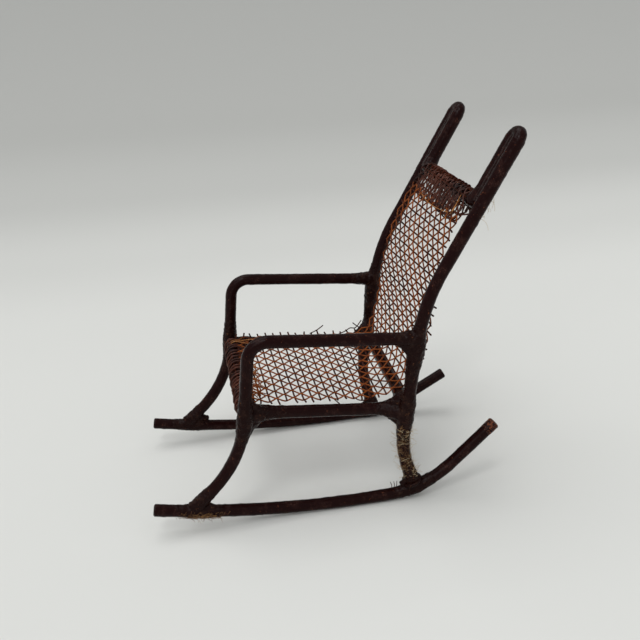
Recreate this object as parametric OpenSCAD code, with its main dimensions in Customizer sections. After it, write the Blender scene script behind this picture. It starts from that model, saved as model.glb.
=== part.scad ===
// Miniature rocking chair: bent rods soldered together, with a woven wire seat and back.
// +Z is up, the chair faces -Y, and its left side (the sitter's left) is +X.
// The origin is on the floor, under the middle of the chair's box.

/* [Rods] */
// Thickness of every rod
rod_d = 3; // [2.4:0.1:3.4]
// Distance between the middles of the left and right rods
frame_w = 42; // [38:1:52]
// How much wider than a rod's radius the folds at the top are bent
fold_room = 0.1; // [0.05:0.05:0.5]
// How much wider than a rod's radius the elbows into the top rail are bent
elbow_room = 0.4; // [0.1:0.1:0.8]

/* [Rockers] */
// Radius of the long arc that rests on the floor
rocker_r = 245; // [200:5:320]
// Distance from the floor contact to the front end
rocker_front = 51.5; // [44:0.5:60]
// Direction of the left rod where its rear bend begins
left_flat = 1.5; // [0.5:0.1:3]
// Direction of the right rod where its rear bend begins
right_flat = 2.7; // [0.5:0.1:3]
// Radius of the rear bend
tail_r = 26; // [20:1:32]
// Upward angle of the left tail
left_tail = 43; // [25:0.5:46]
// Upward angle of the right tail
right_tail = 29; // [25:0.5:46]
// Straight length of the left tail
left_tail_l = 15; // [8:0.2:18]
// Straight length of the right tail
right_tail_l = 14.2; // [8:0.2:18]

/* [Front legs and arms] */
// Height of the arm rod where it turns down into the leg
arm_h = 48.5; // [44:0.5:54]
// Height of the arm rod where it meets the back post
arm_rear_h = 44.6; // [41:0.2:47]
// Radius of the bend at the front of the arm
arm_r = 4.7; // [3:0.1:7]
// Radius of the sweep at the foot of the front leg
leg_sweep_r = 31; // [20:1:34]

/* [Back] */
// Height of the middle of the top rail
top_rail_h = 75.5; // [70:0.5:82]
// Height that the folded rods stand above the top rail
fold_h = 15; // [8:0.5:20]
// Lean of the upper back from the vertical
back_lean = 30; // [24:0.5:34]
// Radius of the bend in the posts above the arms
post_bend_r = 45; // [25:1:55]

/* [Seat] */
// Height of the middle of the front seat rail
seat_front_h = 28.7; // [26:0.1:31]
// Height of the side rails at the rear bar
seat_rear_h = 24.6; // [23:0.1:27]
// How much higher the right side of the seat sits than the left
seat_tilt = 2.2; // [0:0.1:3]
// Radius of the seat frame's front corners
seat_corner_r = 2.6; // [2.2:0.1:4]

/* [Woven wire] */
// Thickness of the cross wires
cross_wire_d = 0.3; // [0.2:0.02:0.4]
// Thickness of the long wires
long_wire_d = 0.28; // [0.2:0.02:0.4]
// Number of long wires
long_wires = 21; // [15:1:25]
// Distance between cross wires
cross_pitch = 2.1; // [1.6:0.1:3]
// How far the cut ends of the cross wires stand past the outer long wires
cut_end = 1.5; // [0.3:0.1:1.6]

/* [Solder] */
// Radius of the beads at the arm ends
arm_bead_r = 2.3; // [2:0.1:2.6]
// Radius of the beads where the side rails meet the posts
post_bead_r = 2.8; // [2.4:0.1:3]
// Radius of the beads where the seat frame meets the front legs
leg_bead_r = 2.6; // [2.4:0.1:2.8]
// Radius of the beads on the rockers
foot_bead_r = 2.4; // [2:0.1:2.8]

/* [Hidden] */
$fn = 48;
rod_color = "#2a1613";
solder_color = "#33221a";
cross_color = "#24130c";
long_color = "#8a4420";
rod_r = rod_d / 2;
seam = 0.05;             // clearance between pieces that touch
bead_seam = 0.1;         // clearance between a solder bead and its rods
swell = 0.04;            // how much thicker a rod is where it bends
fold_r = rod_r + fold_room;
elbow_r = rod_r + elbow_room;
core_l = 0.1;            // how far a straight stretch runs on inside a bend
bend_gap = 0.3;          // shortest straight stretch between two bends
bead_bore = rod_d + 2 * bead_seam;
side_x = frame_w / 2;    // middle of the rockers, legs, arms and posts
contact_y = 6.5;           // where the rockers touch the floor
arc_z = rocker_r + rod_r + swell / 2;    // height of the centre of the rockers' long arc
arc_steps = 6;           // points along each bend of the woven wire's outline

// Rocker: where its long arc ends, its rear bend begins, and the middle of that bend
function flat(side) = side > 0 ? left_flat : right_flat;
function arc_end(side) = [contact_y + rocker_r * sin(flat(side)),
    arc_z - rocker_r * cos(flat(side))];
function tail_bend(side) = arc_end(side) + bend_gap * [cos(flat(side)), sin(flat(side))];
function tail_mid(side) = tail_bend(side) + tail_r * [-sin(flat(side)), cos(flat(side))];

// Front leg and arm, from the foot up: Y and Z of its corners
leg_foot_y = -36.2;
leg_knee = [-22.5, 17.5];
arm_corner_y = -19.1;

// Back post, from the foot up
post_foot_y = 20.5;
function post_foot_z(side) = tail_mid(side)[1]
    - sqrt(pow(tail_r, 2) - pow(post_foot_y - tail_mid(side)[0], 2));
foot_lift = 0.25;        // how far a post's end stays above the middle of its rocker
post_knee = [16.7, 15];
post_bend = [22.4, 53.4];
post_knee_r = 30;
lean_dir = [sin(back_lean), cos(back_lean)];
arm_end_y = post_knee[0] + (arm_rear_h - post_knee[1]) * (post_bend[0] - post_knee[0])
    / (post_bend[1] - post_knee[1]);

// Seat
front_rail_y = -20.5;
rear_bar_y = 17.8;
rail_x = side_x - rod_d - seam;    // side rails lie against the legs and posts
rail_slope = (seat_rear_h - seat_front_h) / (rear_bar_y - front_rail_y);
rail_end_y = rear_bar_y + rod_r + 0.2;
rear_bar_z = rail_z(rear_bar_y) + (rod_d + seam) * sqrt(1 + pow(rail_slope, 2));

// Top rail, on the line of the posts' upper part
top_rail_y = post_bend[0] + (top_rail_h - post_bend[1]) * tan(back_lean);
top_mid = [top_rail_y, top_rail_h];
fold_x = side_x - 2 * fold_r - bend_gap;

// Woven wire: the long wires pass over and under the cross wires' middle line
wire_gap = 0.02;
long_offset = (cross_wire_d + long_wire_d) / 2 + wire_gap;
wrap = rod_r + seam + long_wire_d + wire_gap + cross_wire_d / 2;    // from a rail's middle
wrap_r = wrap - 0.2;
wire_span = 2 * (fold_x - elbow_r - 0.45);    // between the outer long wires
lean_side = [-sin(63), cos(63)];
lean_up = [cos(63), sin(63)];
front_mid = [front_rail_y, seat_front_h];
bar_top = [rear_bar_y, rear_bar_z] + [0.7, wrap + 0.15];
function sling(up) = [
    front_mid + [1, up - wrap],
    front_mid + [-wrap, up - wrap],
    front_mid + [-wrap, up + wrap + 0.2],
    [3.5, up + seat_front_h - 0.4],
    bar_top + [0, up],
    bar_top + [3.4, up + 7.2],
    top_mid + wrap * lean_side - 14 * lean_up,
    top_mid + wrap * lean_side + (wrap + 0.2) * lean_up,
    top_mid - wrap * lean_side + (wrap + 0.2) * lean_up,
    top_mid - wrap * lean_side - 3 * lean_up
];
sling_r = [wrap_r, wrap_r, 80, 4, 20, 50, wrap_r, wrap_r];
left_line = rounded(sling(0), sling_r);
right_line = rounded(sling(seat_tilt), sling_r);
mid_line = line_at(0);
sling_length = run(mid_line, len(mid_line) - 1);
bar_station = station(mid_line, bar_top + [0, seat_tilt / 2]);
first_station = 1.2;
last_station = sling_length - 0.6;
narrow_station = sling_length - 13;    // from here up the folded rods stand beside the weave
seat_count = floor((bar_station - first_station) / cross_pitch);
back_count = floor((last_station - bar_station) / cross_pitch);

function unit(v) = v / norm(v);
function turn(a, b) = acos(max(-1, min(1, a * b)));
function rail_z(y) = seat_front_h + (y - front_rail_y) * rail_slope;
function lift(x) = seat_tilt * (1 - x / rail_x) / 2;    // what the tilt adds to the seat's height
function rocker_z(y) = arc_z - sqrt(pow(rocker_r, 2) - pow(y - contact_y, 2));

// Corners of the leg and arm rod, and of a post below its fold
function arm_points(side) = [
    [side * side_x, leg_foot_y, rocker_z(leg_foot_y)],
    [side * side_x, leg_knee[0], leg_knee[1]],
    [side * side_x, arm_corner_y, arm_h],
    [side * side_x, arm_end_y, arm_rear_h]
];
function post_points(side) = [
    [side * side_x, post_foot_y, post_foot_z(side) + foot_lift],
    [side * side_x, post_knee[0], post_knee[1]],
    [side * side_x, post_bend[0], post_bend[1]]
];

// A line of corners with each inner corner rounded to its radius
function rounded(points, radii) = [for (i = [0:len(points) - 1])
    each (i == 0 || i == len(points) - 1) ? [points[i]] : corner(points, radii[i - 1], i)];
function corner(points, r, i) =
    let (a = unit(points[i] - points[i - 1]), b = unit(points[i + 1] - points[i]))
    let (bend = turn(a, b), side = sign(a[0] * b[1] - a[1] * b[0]))
    let (first = points[i] - a * r * tan(bend / 2), start = atan2(a[1], a[0]))
    [for (k = [0:arc_steps]) let (t = bend * k / arc_steps)
        first + r * [side * (sin(start + side * t) - sin(start)),
                     -side * (cos(start + side * t) - cos(start))]];
// Length of a line up to its point n
function run(line, n) = n == 0 ? 0 : run(line, n - 1) + norm(line[n] - line[n - 1]);
// Length at which a line passes nearest to a point
function station(line, p) =
    let (gaps = [for (q = line) norm(q - p)])
    run(line, search(min(gaps), gaps)[0]);
// Where a given length along a line falls, as a count of its points
function place(line, s, i = 1) =
    let (step = norm(line[i] - line[i - 1]))
    (s <= step || i == len(line) - 1) ? i - 1 + min(1, s / step) : place(line, s - step, i + 1);
function point_at(line, place) =
    let (i = min(floor(place), len(line) - 2))
    line[i] + (line[i + 1] - line[i]) * (place - i);
// The weave's outline at a distance x from the middle
function line_at(x) =
    let (share = lift(x) / max(seat_tilt, 0.001))
    left_line + share * (right_line - left_line);
// Sideways direction of a line at its point i
function normal(line, i) =
    let (a = line[max(0, i - 1)], b = line[min(len(line) - 1, i + 1)], d = unit(b - a))
    [-d[1], d[0]];

// A rod through a list of corners, each inner corner bent to its radius
module bent_rod(points, radii, d) {
    last = len(points) - 1;
    dirs = [for (i = [0:last - 1]) unit(points[i + 1] - points[i])];
    cuts = [for (i = [0:last])
        (i == 0 || i == last) ? 0 : radii[i - 1] * tan(turn(dirs[i - 1], dirs[i]) / 2)];
    for (i = [0:last - 1]) {
        before = i == 0 ? 0 : core_l;
        after = i == last - 1 ? 0 : core_l;
        length = norm(points[i + 1] - points[i]) - cuts[i] - cuts[i + 1];
        translate(points[i] + dirs[i] * (cuts[i] - before))
        rotate([0, acos(dirs[i][2]), atan2(dirs[i][1], dirs[i][0])])
        cylinder(h = length + before + after, d = d);
    }
    for (i = [1:1:last - 1]) {
        elbow(points[i] - dirs[i - 1] * cuts[i], dirs[i - 1], dirs[i], radii[i - 1], d);
    }
}

// One bend that starts at a point, heading from direction a to direction b
module elbow(start, a, b, r, d) {
    z = unit(cross(a, b));
    y = cross(z, a);
    c = start + y * r;
    multmatrix([[a[0], y[0], z[0], c[0]], [a[1], y[1], z[1], c[1]], [a[2], y[2], z[2], c[2]]])
    rotate([0, 0, -90])
    rotate_extrude(angle = turn(a, b), $fn = 96)
    translate([r, 0])
    circle(d = d + swell, $fn = 48);
}

// Rocker rod: long arc on the floor, rear bend, straight tail
module rocker_rod(side, tail, tail_l, d) {
    front = asin(rocker_front / rocker_r);
    flat_dir = [0, cos(flat(side)), sin(flat(side))];
    tail_dir = [0, cos(tail), sin(tail)];
    flat_start = [0, arc_end(side)[0], arc_end(side)[1]];
    bend_start = [0, tail_bend(side)[0], tail_bend(side)[1]];
    tail_start = bend_start + (flat_dir + tail_dir) * tail_r * tan((tail - flat(side)) / 2);
    translate([side * side_x, 0, 0]) {
        elbow([0, contact_y - rocker_front, arc_z - rocker_r * cos(front)],
            [0, cos(front), -sin(front)], flat_dir, rocker_r, d);
        translate(flat_start - flat_dir * core_l)
        rotate([flat(side) - 90, 0, 0])
        cylinder(h = bend_gap + 2 * core_l, d = d);
        elbow(bend_start, flat_dir, tail_dir, tail_r, d);
        translate(tail_start - tail_dir * core_l)
        rotate([tail - 90, 0, 0])
        cylinder(h = tail_l + core_l, d = d);
    }
}
module left_rocker_rod(d) { rocker_rod(1, left_tail, left_tail_l, d); }
module right_rocker_rod(d) { rocker_rod(-1, right_tail, right_tail_l, d); }
module side_rocker_rod(side, d) {
    if (side > 0) left_rocker_rod(d);
    else right_rocker_rod(d);
}

// A straight rod from point a to point b
module straight_rod(a, b, d) {
    dir = unit(b - a);
    translate(a)
    rotate([0, acos(dir[2]), atan2(dir[1], dir[0])])
    cylinder(h = norm(b - a), d = d);
}

// Front leg that bends over into the arm
module leg_and_arm_rod(side, d) {
    bent_rod(arm_points(side), [leg_sweep_r, arm_r], d);
}

// Both posts and the top rail, one rod that folds back down inside each post
module back_rod(d) {
    peak_z = top_rail_h + fold_h;
    peak = post_bend + lean_dir * (peak_z - post_bend[1]) / cos(back_lean);
    lift = (top_rail_h - peak_z) / cos(back_lean);
    rail = peak + lean_dir * lift;
    fold = [[side_x, peak[0], peak[1]], [fold_x, peak[0], peak[1]], [fold_x, rail[0], rail[1]]];
    half = concat(post_points(1), fold);
    foot = post_points(-1);
    other = [for (i = [len(half) - 1:-1:0])
        i < len(foot) ? foot[i] : [-half[i][0], half[i][1], half[i][2]]];
    half_r = [post_knee_r, post_bend_r, fold_r, fold_r, elbow_r];
    other_r = [for (i = [len(half_r) - 1:-1:0]) half_r[i]];
    bent_rod(concat(half, other), concat(half_r, other_r), d);
}

// Seat frame: side rails and front rail in one piece
module seat_rod(d) {
    rear_z = rail_z(rail_end_y);
    points = [[rail_x, rail_end_y, rear_z], [rail_x, front_rail_y, seat_front_h],
        [-rail_x, front_rail_y, seat_front_h + seat_tilt],
        [-rail_x, rail_end_y, rear_z + seat_tilt]];
    bent_rod(points, [seat_corner_r, seat_corner_r], d);
}

function bar_point(x) = [x, rear_bar_y, rear_bar_z + lift(x)];
module bar_rod(d) {
    half = side_x - seam - rod_r * (1 + seat_tilt / (2 * rail_x));
    straight_rod(bar_point(-half), bar_point(half), d);
}

// A solder bead round the rods that meet in it, which the children cut away
module bead(side, r, place) {
    color(solder_color)
    difference() {
        translate([side * place[0], place[1], place[2]])
        sphere(r = r);
        children();
    }
}

module left_rocker() { color(rod_color) left_rocker_rod(rod_d); }
module right_rocker() { color(rod_color) right_rocker_rod(rod_d); }

module leg_and_arm(side) {
    color(rod_color)
    difference() {
        leg_and_arm_rod(side, rod_d);
        side_rocker_rod(side, rod_d + 2 * seam);
        back_rod(rod_d + 2 * seam);
    }
}
module left_leg_and_arm() { leg_and_arm(1); }
module right_leg_and_arm() { leg_and_arm(-1); }

module back_frame() {
    color(rod_color)
    difference() {
        back_rod(rod_d);
        left_rocker_rod(rod_d + 2 * seam);
        right_rocker_rod(rod_d + 2 * seam);
    }
}

module seat_frame() { color(rod_color) seat_rod(rod_d); }
module rear_seat_bar() { color(rod_color) bar_rod(rod_d); }

module arm_solder(side) {
    arm = arm_points(side);
    post = post_points(side);
    bead(side, arm_bead_r, [side_x, arm_end_y - 0.9, arm_rear_h]) {
        straight_rod(arm[2], arm[3], bead_bore);
        straight_rod(post[1], post[2], bead_bore);
    }
}
module left_arm_solder() { arm_solder(1); }
module right_arm_solder() { arm_solder(-1); }

module post_solder(side) {
    post = post_points(side);
    up = lift(side * rail_x);
    bead(side, post_bead_r, [side_x - rod_r, rear_bar_y - 0.5, rail_z(rear_bar_y) + 0.4 + up]) {
        straight_rod([side * rail_x, front_rail_y, seat_front_h + up],
            [side * rail_x, rail_end_y + rod_d, rail_z(rail_end_y + rod_d) + up], bead_bore);
        straight_rod(post[1], post[2], bead_bore);
        straight_rod(bar_point(0), bar_point(side * side_x), bead_bore);
    }
}
module left_post_solder() { post_solder(1); }
module right_post_solder() { post_solder(-1); }

module leg_solder(side) {
    up = lift(side * rail_x);
    bead(side, leg_bead_r, [side_x - rod_r + 0.1, front_rail_y - 0.2, seat_front_h + up]) {
        seat_rod(bead_bore);
        leg_and_arm_rod(side, bead_bore);
    }
}
module left_leg_solder() { leg_solder(1); }
module right_leg_solder() { leg_solder(-1); }

module front_foot_solder(side) {
    arm = arm_points(side);
    foot = arm[0];
    rocker_dir = [0, sqrt(pow(rocker_r, 2) - pow(foot[1] - contact_y, 2)), foot[1] - contact_y]
        / rocker_r;
    bead(side, foot_bead_r, [side_x, foot[1] + 1.5, foot[2] + 1.4]) {
        straight_rod(foot - 10 * rocker_dir, foot + 10 * rocker_dir, bead_bore);
        straight_rod(arm[0], arm[1], bead_bore);
    }
}
module left_front_foot_solder() { front_foot_solder(1); }
module right_front_foot_solder() { front_foot_solder(-1); }

module rear_foot_solder(side) {
    post = post_points(side);
    bead(side, foot_bead_r, [side_x, post_foot_y - 0.6, post_foot_z(side) + 1.9]) {
        side_rocker_rod(side, bead_bore);
        straight_rod(post[0], post[1], bead_bore);
    }
}
module left_rear_foot_solder() { rear_foot_solder(1); }
module right_rear_foot_solder() { rear_foot_solder(-1); }

// Straight wires from side to side along a stretch of the weave
module cross_wires(first, count) {
    color(cross_color)
    for (i = [0:count - 1]) {
        s = first + i * cross_pitch;
        p = place(mid_line, s);
        beside_rods = s > narrow_station || s < 2 * wrap + 6;
        half = wire_span / 2 + (beside_rods ? 0.35 : cut_end);
        a = point_at(line_at(-half), p);
        b = point_at(line_at(half), p);
        straight_rod([-half, a[0], a[1]], [half, b[0], b[1]], cross_wire_d, $fn = 16);
    }
}
module seat_cross_wires() { cross_wires(first_station, seat_count); }
module back_cross_wires() { cross_wires(bar_station + cross_pitch / 2, back_count); }

// Every second long wire, on one face of the cross wires
module long_wire_set(first, side) {
    pitch = wire_span / (long_wires - 1);
    half = long_wire_d / 2;
    last = len(mid_line) - 1;
    color(long_color)
    for (i = [first:2:long_wires - 1]) {
        x = i * pitch - wire_span / 2;
        line = line_at(x);
        near = [for (i = [0:last]) line[i] + normal(line, i) * (side * long_offset - half)];
        far = [for (i = [last:-1:0]) line[i] + normal(line, i) * (side * long_offset + half)];
        translate([x - half, 0, 0])
        multmatrix([[0, 0, 1, 0], [1, 0, 0, 0], [0, 1, 0, 0]])
        linear_extrude(long_wire_d)
        polygon(concat(near, far));
    }
}
module upper_long_wires() { long_wire_set(0, 1); }
module lower_long_wires() { long_wire_set(1, -1); }

left_rocker();
right_rocker();
left_leg_and_arm();
right_leg_and_arm();
back_frame();
seat_frame();
rear_seat_bar();
left_arm_solder();
right_arm_solder();
left_post_solder();
right_post_solder();
left_leg_solder();
right_leg_solder();
left_front_foot_solder();
right_front_foot_solder();
left_rear_foot_solder();
right_rear_foot_solder();
seat_cross_wires();
back_cross_wires();
upper_long_wires();
lower_long_wires();
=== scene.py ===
import math
import random

import bpy
import numpy as np
from mathutils import Matrix, Vector, noise


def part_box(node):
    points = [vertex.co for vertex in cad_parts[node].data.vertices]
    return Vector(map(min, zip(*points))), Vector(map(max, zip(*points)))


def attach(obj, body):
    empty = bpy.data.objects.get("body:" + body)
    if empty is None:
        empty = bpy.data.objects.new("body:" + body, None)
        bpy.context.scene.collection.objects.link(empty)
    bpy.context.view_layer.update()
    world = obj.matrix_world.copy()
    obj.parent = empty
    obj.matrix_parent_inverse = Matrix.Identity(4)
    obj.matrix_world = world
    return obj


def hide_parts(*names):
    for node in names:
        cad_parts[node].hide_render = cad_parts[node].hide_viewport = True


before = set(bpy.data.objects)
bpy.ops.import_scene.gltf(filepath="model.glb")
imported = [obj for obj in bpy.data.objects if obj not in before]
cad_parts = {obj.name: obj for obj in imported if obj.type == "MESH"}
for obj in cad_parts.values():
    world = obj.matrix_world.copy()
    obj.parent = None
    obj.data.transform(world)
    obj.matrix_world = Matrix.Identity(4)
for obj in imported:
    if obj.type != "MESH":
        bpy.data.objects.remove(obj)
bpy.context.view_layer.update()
mm = 0.001

# The camera looks from the sitter's left, a little in front of the chair and above it
cameraSetup = {
    "place": (185.56, -30.98, 124.32),    # mm
    "right": (0.18738, 0.98156, -0.03771),
    "up": (-0.38381, 0.10850, 0.91702),
    "lens": 45,
    "sensor": 36,
    "clip": (0.01, 20),                   # m
}


def makeCamera():
    data = bpy.data.cameras.new("chairCamera")
    data.lens, data.sensor_width = cameraSetup["lens"], cameraSetup["sensor"]
    data.clip_start, data.clip_end = cameraSetup["clip"]
    camera = bpy.data.objects.new("chairCamera", data)
    right = Vector(cameraSetup["right"]).normalized()
    up = Vector(cameraSetup["up"]).normalized()
    back = right.cross(up)
    turn = Matrix((right, up, back)).transposed().to_4x4()
    camera.matrix_world = Matrix.Translation(Vector(cameraSetup["place"]) * mm) @ turn
    bpy.context.collection.objects.link(camera)
    bpy.context.scene.camera = camera
    print("camera set")


makeCamera()


# Lines through space are arrays of points in millimetres
def unit(v):
    v = np.asarray(v, float)
    return v / np.linalg.norm(v)


def lengthsAlong(points):
    return np.concatenate([[0], np.cumsum(np.linalg.norm(np.diff(points, axis=0), axis=1))])


def resample(points, step=None, at=None):
    points = np.asarray(points, float)
    run = lengthsAlong(points)
    if at is None:
        at = np.linspace(0, run[-1], max(3, int(round(run[-1] / step)) + 1))
    return np.stack([np.interp(at, run, points[:, k]) for k in range(3)], axis=1)


def roundedPath(corners, radii, step):
    # straight runs between corners, with an arc of its own radius at each inner corner
    corners = [np.array(c, float) for c in corners]
    points = [corners[0]]
    for k, radius in enumerate(radii):
        before, corner, after = corners[k:k + 3]
        a, b = unit(corner - before), unit(after - corner)
        bend = math.acos(max(-1, min(1, a @ b)))
        inward = unit(b - a * (a @ b))
        middle = corner - a * radius * math.tan(bend / 2) + inward * radius
        for t in np.linspace(0, bend, 24):
            points.append(middle + radius * (a * math.sin(t) - inward * math.cos(t)))
    points.append(corners[-1])
    return resample(points, step)


def splinePath(points, perSpan):
    # smooth curve through every point
    p = np.asarray(points, float)
    p = np.vstack([2 * p[0] - p[1], p, 2 * p[-1] - p[-2]])
    out = []
    for k in range(1, len(p) - 2):
        for t in np.linspace(0, 1, perSpan, endpoint=False):
            a, b, c, d = p[k - 1:k + 3]
            out.append(0.5 * (2 * b + (c - a) * t + (2 * a - 5 * b + 4 * c - d) * t * t
                              + (3 * b - a - 3 * c + d) * t ** 3))
    out.append(p[-2])
    return np.array(out)


def crossFrames(points):
    # heading and two directions square to it at every point, without sudden twist
    along = np.gradient(points, axis=0)
    along /= np.linalg.norm(along, axis=1)[:, None]
    side = np.array([1.0, 0, 0]) if abs(along[0][0]) < 0.8 else np.array([0, 0, 1.0])
    sides = []
    for t in along:
        side = unit(side - t * (side @ t))
        sides.append(side)
    sides = np.array(sides)
    return along, sides, np.cross(along, sides)


def sweepTube(points, radii, sides):
    # vertices and faces of a closed tube
    points = np.asarray(points, float)
    count = len(points)
    radii = np.broadcast_to(np.asarray(radii, float), (count,))
    _, u, v = crossFrames(points)
    angles = np.linspace(0, 2 * math.pi, sides, endpoint=False)
    spread = np.cos(angles)[None, :, None] * u[:, None] + np.sin(angles)[None, :, None] * v[:, None]
    verts = (points[:, None] + radii[:, None, None] * spread).reshape(-1, 3)
    faces = []
    for k in range(count - 1):
        for s in range(sides):
            n = (s + 1) % sides
            faces.append((k * sides + s, k * sides + n, (k + 1) * sides + n, (k + 1) * sides + s))
    faces.append(tuple(range(sides))[::-1])
    faces.append(tuple(range((count - 1) * sides, count * sides)))
    return verts, faces


def makeMesh(name, tubes):
    verts, faces, start = [], [], 0
    for v, f in tubes:
        verts.append(v)
        faces += [tuple(start + k for k in face) for face in f]
        start += len(v)
    mesh = bpy.data.meshes.new(name)
    mesh.from_pydata((np.concatenate(verts) * mm).tolist(), [], faces)
    mesh.validate()
    mesh.shade_smooth()
    piece = bpy.data.objects.new(name, mesh)
    bpy.context.collection.objects.link(piece)
    return piece


def lumpiness(points, seed, scale, octaves=2):
    # smooth noise at every point, with bumps about one scale wide
    shift = Vector((seed * 13.7, seed * 5.1, seed * 9.3))
    return np.array([noise.fractal(Vector(p) / scale + shift, 0.6, 2.0, octaves) for p in points])


def finish(piece, material, nodes=()):
    piece.data.materials.clear()
    piece.data.materials.append(material)
    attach(piece, "root")
    if nodes:
        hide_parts(*nodes)


# Shader effects that several materials share
def newGroup(name, inputs):
    # an effect gives a colour, a roughness and a height for the bump
    group = bpy.data.node_groups.new(name, "ShaderNodeTree")
    for kind, label, value in inputs:
        socket = group.interface.new_socket(name=label, in_out="INPUT",
                                            socket_type="NodeSocket" + kind)
        socket.default_value = value
    for kind, label in (("Color", "Color"), ("Float", "Roughness"), ("Float", "Height")):
        group.interface.new_socket(name=label, in_out="OUTPUT", socket_type="NodeSocket" + kind)
    return group, group.nodes.new("NodeGroupInput"), group.nodes.new("NodeGroupOutput")


def addNode(tree, kind, links=(), **settings):
    node = tree.nodes.new("ShaderNode" + kind)
    for key, value in settings.items():
        if key.startswith("in_"):
            node.inputs[key[3:]].default_value = value
        else:
            setattr(node, key, value)
    for socket, source in links:
        tree.links.new(source, node.inputs[socket])
    return node


def feed(tree, socket, value):
    # a socket takes another node's output or a plain value
    if hasattr(value, "is_output"):
        tree.links.new(value, socket)
    else:
        socket.default_value = value


def mixColor(tree, amount, a, b):
    node = addNode(tree, "Mix", data_type="RGBA")
    for socket, value in ((0, amount), (6, a), (7, b)):
        feed(tree, node.inputs[socket], value)
    return node.outputs[2]


def mathNode(tree, how, a, b, clamp=False):
    node = addNode(tree, "Math", operation=how, use_clamp=clamp)
    feed(tree, node.inputs[0], a)
    feed(tree, node.inputs[1], b)
    return node.outputs[0]


def mapRange(tree, value, low, high, toLow=0.0, toHigh=1.0):
    node = addNode(tree, "MapRange")
    for k, number in enumerate((value, low, high, toLow, toHigh)):
        feed(tree, node.inputs[k], number)
    return node.outputs[0]


def noiseAt(tree, place, scale, detail, roughness):
    return addNode(tree, "TexNoise", [("Vector", place)], in_Scale=scale,
                   in_Detail=detail, in_Roughness=roughness).outputs[0]


def blendOf(tree, a, shareA, b, shareB):
    return mathNode(tree, "ADD", mathNode(tree, "MULTIPLY", a, shareA),
                    mathNode(tree, "MULTIPLY", b, shareB))


def putOut(tree, result, color, rough, height):
    tree.links.new(color, result.inputs["Color"])
    tree.links.new(rough, result.inputs["Roughness"])
    tree.links.new(height, result.inputs["Height"])


def makeBrushedPaint():
    # thick dark paint with lumps, dry patches and rust showing through in specks
    tree, source, result = newGroup(
        "brushedPaint",
        [("Color", "Paint", (0.02, 0.01, 0.009, 1)),
         ("Color", "Dry Paint", (0.06, 0.035, 0.03, 1)),
         ("Color", "Rust", (0.22, 0.07, 0.025, 1)),
         ("Float", "Rust Amount", 0.35),
         ("Float", "Gloss", 0.32),
         ("Float", "Scale", 1.0)])
    place = addNode(tree, "TexCoord").outputs["Object"]
    size = addNode(tree, "VectorMath", [(0, place)], operation="SCALE")
    tree.links.new(source.outputs["Scale"], size.inputs["Scale"])
    spot = size.outputs[0]
    patches = noiseAt(tree, spot, 420, 4, 0.6)
    grit = noiseAt(tree, spot, 2600, 3, 0.65)
    lumps = noiseAt(tree, spot, 900, 3, 0.5)
    dry = mapRange(tree, patches, 0.5, 0.72)
    gritty = mapRange(tree, grit, 0.35, 0.75)
    dryMask = mathNode(tree, "MULTIPLY", dry, gritty)
    base = mixColor(tree, dryMask, source.outputs["Paint"], source.outputs["Dry Paint"])
    facing = addNode(tree, "SeparateXYZ",
                     [(0, addNode(tree, "NewGeometry").outputs["Normal"])]).outputs[2]
    under = mapRange(tree, facing, -0.25, -0.95, 0.0, 0.3)      # damp undersides rust more
    amount = mathNode(tree, "ADD", source.outputs["Rust Amount"], under)
    edge = mathNode(tree, "SUBTRACT", 0.80, mathNode(tree, "MULTIPLY", amount, 0.25))
    rustField = blendOf(tree, lumps, 0.6, grit, 0.5)
    rustMask = mapRange(tree, rustField, edge, mathNode(tree, "ADD", edge, 0.11))
    color = mixColor(tree, rustMask, base, source.outputs["Rust"])
    dryRough = mathNode(tree, "MULTIPLY", dryMask, 0.28)
    rough = mathNode(tree, "ADD", source.outputs["Gloss"], dryRough)
    rough = mathNode(tree, "ADD", rough, mathNode(tree, "MULTIPLY", rustMask, 0.3), clamp=True)
    putOut(tree, result, color, rough, blendOf(tree, lumps, 0.7, grit, 0.3))
    return tree


def makeTarnish():
    # metal wire that has dulled unevenly along its length
    tree, source, result = newGroup(
        "wireTarnish",
        [("Color", "Metal", (0.36, 0.15, 0.06, 1)),
         ("Color", "Tarnish", (0.07, 0.03, 0.018, 1)),
         ("Color", "Bloom", (0.5, 0.26, 0.12, 1)),
         ("Float", "Dullness", 0.5)])
    place = addNode(tree, "TexCoord").outputs["Object"]
    broad = noiseAt(tree, place, 170, 3, 0.55)
    fine = noiseAt(tree, place, 1500, 3, 0.6)
    field = blendOf(tree, broad, 0.65, fine, 0.35)
    level = mathNode(tree, "SUBTRACT", 0.72,
                     mathNode(tree, "MULTIPLY", source.outputs["Dullness"], 0.36))
    dull = mapRange(tree, field, mathNode(tree, "SUBTRACT", level, 0.09),
                    mathNode(tree, "ADD", level, 0.09))
    base = mixColor(tree, dull, source.outputs["Metal"], source.outputs["Tarnish"])
    bright = mapRange(tree, fine, 0.62, 0.74)
    color = mixColor(tree, bright, base, source.outputs["Bloom"])
    rough = mapRange(tree, field, 0.35, 0.65, 0.34, 0.62)
    putOut(tree, result, color, rough, fine)
    return tree


brushedPaint = makeBrushedPaint()
wireTarnish = makeTarnish()


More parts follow.
